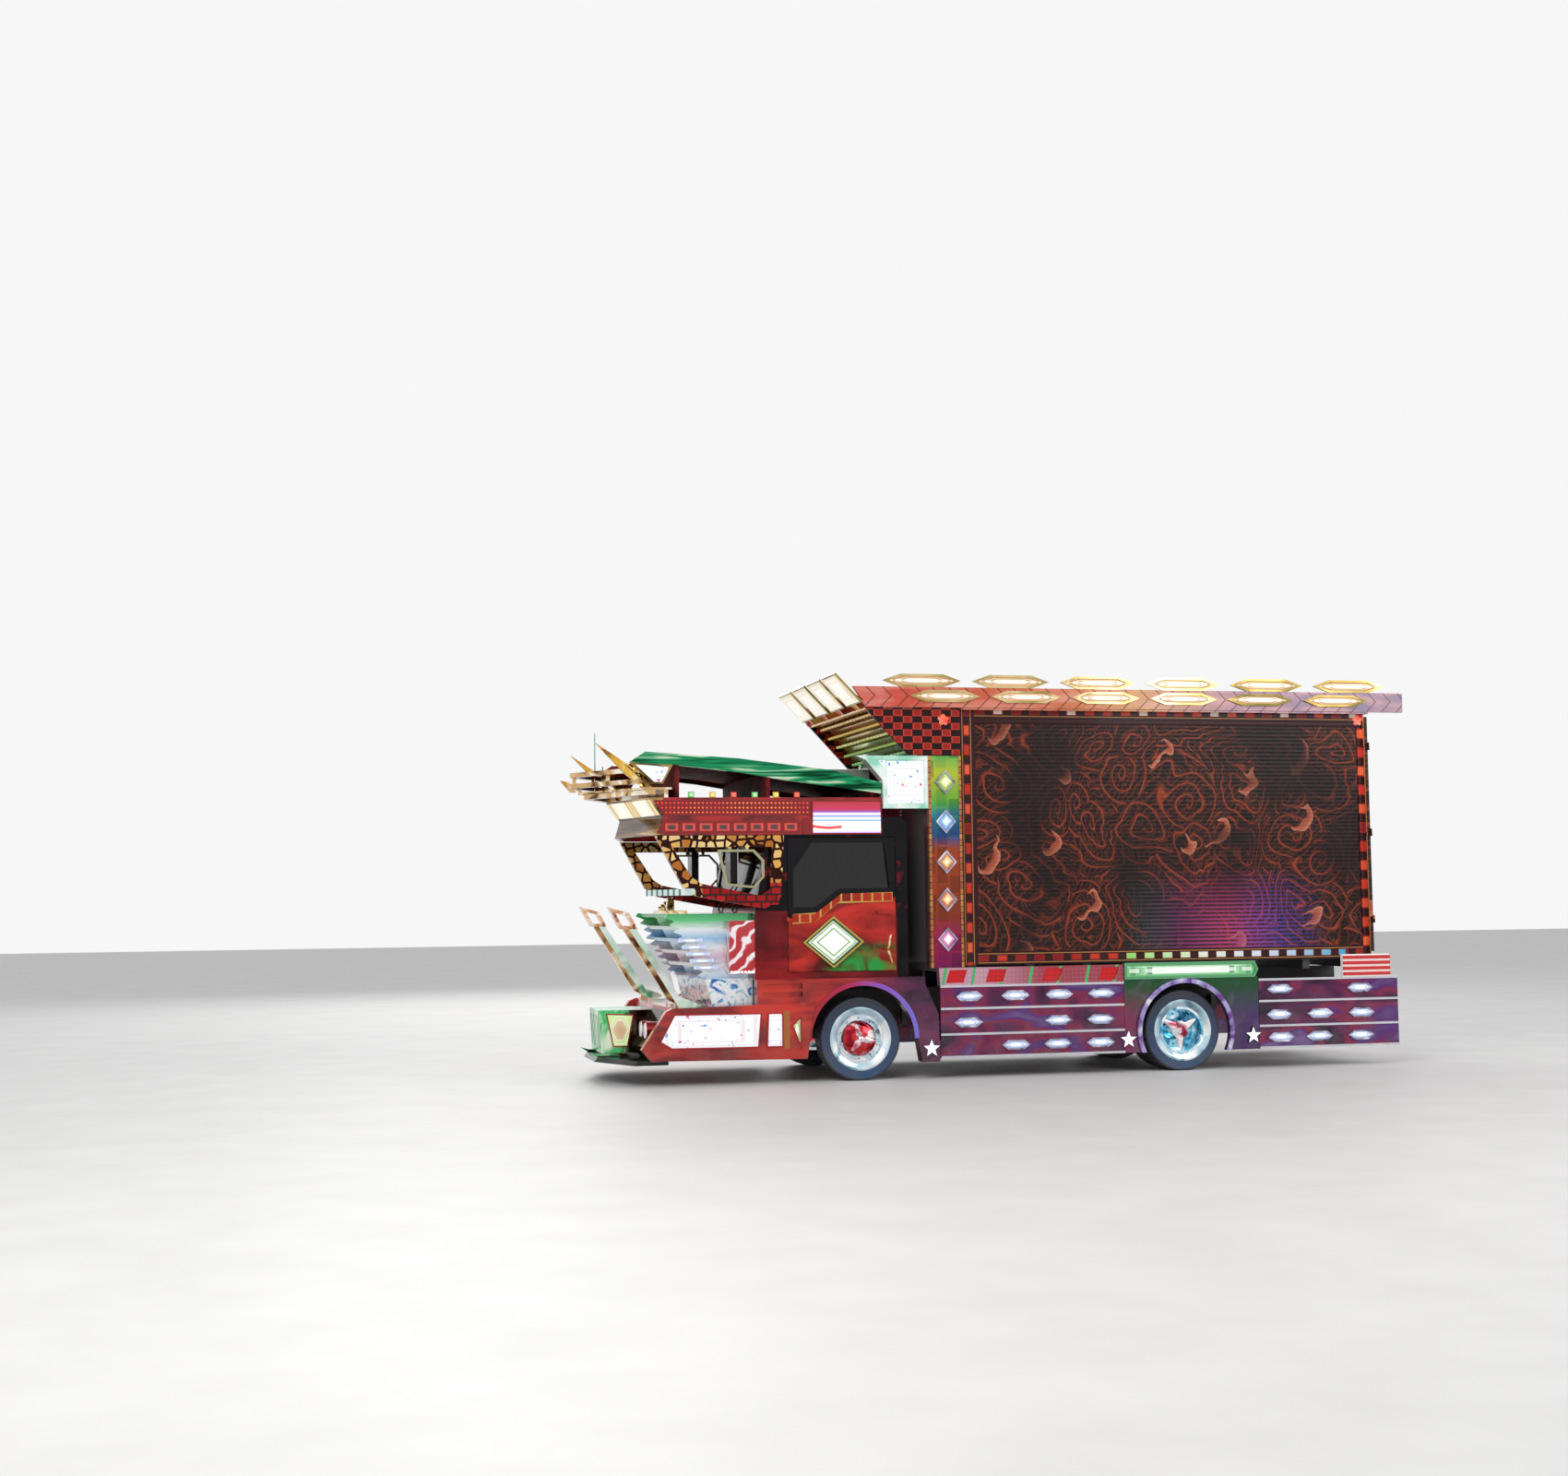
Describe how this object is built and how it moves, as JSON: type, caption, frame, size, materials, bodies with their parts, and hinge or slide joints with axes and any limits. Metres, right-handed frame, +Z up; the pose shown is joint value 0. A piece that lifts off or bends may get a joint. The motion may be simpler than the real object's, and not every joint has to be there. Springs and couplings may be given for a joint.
{
  "type": "decorated box truck",
  "caption": "Forward-control box truck dressed with lit lamp boards, prow-shaped roof deck and visor, low bumper and chrome; wheels roll and steer, doors open.",
  "frame": {"origin": "on the ground under the centre of the truck's bounding box", "axes": "+X forward along the truck, +Y to its left side, +Z up"},
  "size_m": [8.7, 2.44, 3.9839],
  "materials": {
    "frame_paint": "satin",
    "cast_parts": "rough",
    "spring_steel": "satin",
    "tank_alloy": "satin",
    "floor_boards": "matt",
    "wheel_chrome": "polished",
    "tyre_rubber": "matt",
    "cab_paint": "gloss",
    "door_paint": "candy gloss",
    "clear_glass": "clear",
    "seat_cloth": "woven",
    "trim_plastic": "grained",
    "flare_paint": "candy gloss",
    "bumper_paint": "candy gloss",
    "dark_chrome": "polished",
    "bright_chrome": "polished",
    "gold_chrome": "polished",
    "green_chrome": "polished",
    "lamp_white": "lit",
    "lamp_cream": "lit",
    "lamp_blue": "lit",
    "lamp_red": "lit",
    "box_paint": "gloss",
    "mural": "gloss",
    "skirt_paint": "metallic",
    "checker_plate": "patterned",
    "board_paint": "gloss"
  },
  "bodies": {
    "chassis": {"ladder_frame": "frame_paint", "box_floor": "floor_boards", "front_axle": "cast_parts", "rear_axle": "cast_parts", "leaf_springs": "spring_steel", "engine": "cast_parts", "drive_shaft": "frame_paint", "under_tanks": "tank_alloy", "cab_shell": "cab_paint", "windscreen": "clear_glass", "seats": "seat_cloth", "dashboard": "trim_plastic", "front_fenders": "flare_paint", "bumper_front": "dark_chrome", "bumper_wings": "bumper_paint", "bumper_pod": "green_chrome", "bumper_arms": "gold_chrome", "nose_base": "gold_chrome", "nose_grille": "bright_chrome", "nose_crest": "gold_chrome", "mirror_stays": "gold_chrome", "visor": "bright_chrome", "front_lamps": "lamp_white", "roof_deck": "green_chrome", "deck_truss": "bright_chrome", "side_lightboxes": "lamp_white", "corner_pillars": "green_chrome", "side_lamps": "lamp_blue", "box_front_wall": "box_paint", "side_panel_left": "mural", "side_panel_right": "mural", "box_roof": "box_paint", "rear_frame": "bright_chrome", "roof_boards": "board_paint", "roof_lamps": "lamp_cream", "box_fairing": "box_paint", "side_skirts": "skirt_paint", "rear_wheel_panels": "skirt_paint", "step_boxes": "checker_plate", "rear_bumper": "dark_chrome", "tail_lamps": "lamp_red"},
    "knuckle_left": {"knuckle_left": "cast_parts"},
    "knuckle_right": {"knuckle_right": "cast_parts"},
    "wheel_front_left": {"front_wheel_left": "wheel_chrome", "front_tyre_left": "tyre_rubber"},
    "wheel_front_right": {"front_wheel_right": "wheel_chrome", "front_tyre_right": "tyre_rubber"},
    "wheel_rear_left": {"rear_wheel_left": "wheel_chrome", "rear_tyres_left": "tyre_rubber"},
    "wheel_rear_right": {"rear_wheel_right": "wheel_chrome", "rear_tyres_right": "tyre_rubber"},
    "cab_door_left": {"door_left": "door_paint", "door_glass_left": "clear_glass"},
    "cab_door_right": {"door_right": "door_paint", "door_glass_right": "clear_glass"},
    "rear_door_left": {"cargo_door_left": "mural"},
    "rear_door_right": {"cargo_door_right": "mural"}
  },
  "joints": [
    {"name": "steer_left", "type": "hinge", "parent": "chassis", "child": "knuckle_left", "pos_m": [1.55, 0.72, 0.405], "axis": [0, 0, 1], "range_deg": [-35, 35]},
    {"name": "steer_right", "type": "hinge", "parent": "chassis", "child": "knuckle_right", "pos_m": [1.55, -0.72, 0.405], "axis": [0, 0, 1], "range_deg": [-35, 35]},
    {"name": "roll_front_left", "type": "hinge", "parent": "knuckle_left", "child": "wheel_front_left", "pos_m": [1.55, 0.93, 0.405], "axis": [0, 1, 0], "continuous": true},
    {"name": "roll_front_right", "type": "hinge", "parent": "knuckle_right", "child": "wheel_front_right", "pos_m": [1.55, -0.93, 0.405], "axis": [0, 1, 0], "continuous": true},
    {"name": "roll_rear_left", "type": "hinge", "parent": "chassis", "child": "wheel_rear_left", "pos_m": [-1.825, 0.8325, 0.405], "axis": [0, 1, 0], "continuous": true},
    {"name": "roll_rear_right", "type": "hinge", "parent": "chassis", "child": "wheel_rear_right", "pos_m": [-1.825, -0.8325, 0.405], "axis": [0, 1, 0], "continuous": true},
    {"name": "cab_door_left_swing", "type": "hinge", "parent": "chassis", "child": "cab_door_left", "pos_m": [2.272, 1.061, 1.405], "axis": [0, 0, -1], "range_deg": [0, 70]},
    {"name": "cab_door_right_swing", "type": "hinge", "parent": "chassis", "child": "cab_door_right", "pos_m": [2.272, -1.061, 1.405], "axis": [0, 0, 1], "range_deg": [0, 70]},
    {"name": "rear_door_left_swing", "type": "hinge", "parent": "chassis", "child": "rear_door_left", "pos_m": [-3.996, 1.106, 2.4], "axis": [0, 0, -1], "range_deg": [0, 240]},
    {"name": "rear_door_right_swing", "type": "hinge", "parent": "chassis", "child": "rear_door_right", "pos_m": [-3.996, -1.106, 2.4], "axis": [0, 0, 1], "range_deg": [0, 240]}
  ],
  "couplings": [
    {"joint": "steer_right", "follows": "steer_left", "ratio": 1}
  ]
}
